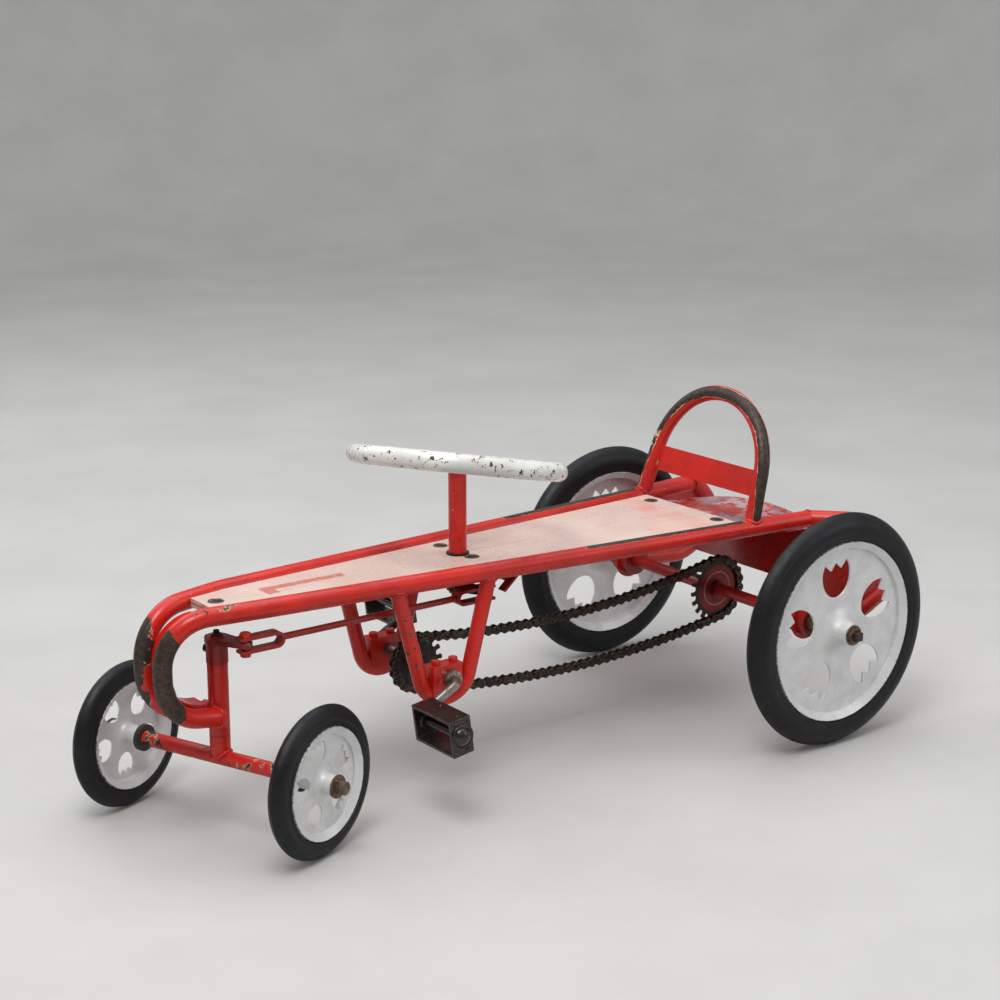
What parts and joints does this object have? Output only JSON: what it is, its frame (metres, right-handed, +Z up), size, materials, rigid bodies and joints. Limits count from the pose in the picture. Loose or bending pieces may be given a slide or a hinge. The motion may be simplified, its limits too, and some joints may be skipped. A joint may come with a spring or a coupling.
{
  "type": "pedal go kart",
  "caption": "Child's vintage pedal go kart: bent red tube rails, plank seat with hoop back, chain drive, pressed disc wheels and drag-link steering.",
  "frame": {"origin": "centre of the bounding box's bottom face, on the ground", "axes": "+X forward along the kart, +Y to the rider's left, +Z up"},
  "size_m": [1.0636, 0.541, 0.43],
  "materials": {
    "red_enamel": "gloss",
    "white_enamel": "gloss",
    "silver_paint": "satin",
    "black_rubber": "satin",
    "rusty_steel": "matte",
    "dark_steel": "satin",
    "plated_steel": "satin",
    "board_laminate": "satin",
    "cup_rubber": "matte"
  },
  "bodies": {
    "frame": {"left_rail": "red_enamel", "right_rail": "red_enamel", "left_rear_hook": "red_enamel", "right_rear_hook": "red_enamel", "left_axle_plate": "red_enamel", "right_axle_plate": "red_enamel", "axle_bearings": "red_enamel", "seat_hoop": "red_enamel", "backrest_bar": "red_enamel", "left_hanger": "red_enamel", "right_hanger": "red_enamel", "crank_bearings": "red_enamel", "crank_bearing_bolts": "rusty_steel", "head_tube": "red_enamel", "nose_strip": "red_enamel", "rear_cowl": "red_enamel", "seat_board": "board_laminate", "board_screws": "rusty_steel", "column_bracket": "red_enamel", "column_collar": "rusty_steel", "chain_outer_links": "rusty_steel", "chain_inner_links": "rusty_steel"},
    "rear_axle": {"rear_axle_shaft": "red_enamel", "rear_sprocket": "red_enamel", "left_rear_tyre": "black_rubber", "left_rear_disc": "silver_paint", "rear_axle_nuts": "rusty_steel", "rear_axle_washers": "rusty_steel"},
    "right_rear_wheel": {"right_rear_tyre": "black_rubber", "right_rear_disc": "silver_paint"},
    "crank": {"crank_axle": "plated_steel", "front_sprocket": "dark_steel", "left_crank_arm": "plated_steel", "right_crank_arm": "dark_steel", "pedal_spindles": "dark_steel"},
    "left_pedal": {"left_pedal_cage": "dark_steel", "left_pedal_cap": "dark_steel"},
    "right_pedal": {"right_pedal_cage": "dark_steel", "right_pedal_cap": "dark_steel"},
    "steering": {"steering_column": "red_enamel", "steering_rim": "white_enamel", "steering_spokes": "white_enamel", "column_arm": "rusty_steel"},
    "drag_link": {"drag_rod": "rusty_steel", "link_clevises": "rusty_steel", "rear_link_pin": "rusty_steel"},
    "front_axle": {"front_beam": "red_enamel", "front_axle_rod": "rusty_steel", "kingpin": "red_enamel", "steering_collar": "red_enamel", "front_arm": "red_enamel", "front_link_pin": "rusty_steel", "front_axle_washers": "rusty_steel", "front_split_pins": "rusty_steel", "front_hub_cups": "cup_rubber"},
    "left_front_wheel": {"left_front_tyre": "black_rubber", "left_front_disc": "silver_paint"},
    "right_front_wheel": {"right_front_tyre": "black_rubber", "right_front_disc": "silver_paint"}
  },
  "joints": [
    {"name": "rear_axle_spin", "type": "hinge", "parent": "frame", "child": "rear_axle", "pos_m": [-0.36623, 0, 0.1524], "axis": [0, 1, 0], "continuous": true, "deforming": ["chain_outer_links", "chain_inner_links"]},
    {"name": "crank_spin", "type": "hinge", "parent": "frame", "child": "crank", "pos_m": [0.12637, 0, 0.1483], "axis": [0, 1, 0], "continuous": true, "deforming": ["chain_outer_links", "chain_inner_links"]},
    {"name": "right_rear_wheel_spin", "type": "hinge", "parent": "rear_axle", "child": "right_rear_wheel", "pos_m": [-0.36623, -0.2286, 0.1524], "axis": [0, 1, 0], "continuous": true},
    {"name": "left_pedal_spin", "type": "hinge", "parent": "crank", "child": "left_pedal", "pos_m": [0.18594, 0.143, 0.11989], "axis": [0, 1, 0], "continuous": true},
    {"name": "right_pedal_spin", "type": "hinge", "parent": "crank", "child": "right_pedal", "pos_m": [0.0668, -0.143, 0.17671], "axis": [0, 1, 0], "continuous": true},
    {"name": "steering_turn", "type": "hinge", "parent": "frame", "child": "steering", "pos_m": [0.06077, 0, 0.232], "axis": [0, 0, 1], "range_deg": [-56, 14]},
    {"name": "front_axle_steer", "type": "hinge", "parent": "frame", "child": "front_axle", "pos_m": [0.39757, 0, 0.0889], "axis": [0, 0, 1], "range_deg": [-56, 14]},
    {"name": "drag_link_pivot", "type": "hinge", "parent": "steering", "child": "drag_link", "pos_m": [0.04572, 0.03921, 0.232], "axis": [0, 0, 1], "range_deg": [-14, 56]},
    {"name": "left_front_wheel_spin", "type": "hinge", "parent": "front_axle", "child": "left_front_wheel", "pos_m": [0.34647, 0.13313, 0.0889], "axis": [-0.3584, 0.9336, 0], "continuous": true},
    {"name": "right_front_wheel_spin", "type": "hinge", "parent": "front_axle", "child": "right_front_wheel", "pos_m": [0.44867, -0.13313, 0.0889], "axis": [-0.3584, 0.9336, 0], "continuous": true}
  ],
  "couplings": [
    {"joint": "crank_spin", "follows": "rear_axle_spin", "ratio": 1.25},
    {"joint": "front_axle_steer", "follows": "steering_turn", "ratio": 1},
    {"joint": "drag_link_pivot", "follows": "steering_turn", "ratio": -1}
  ]
}
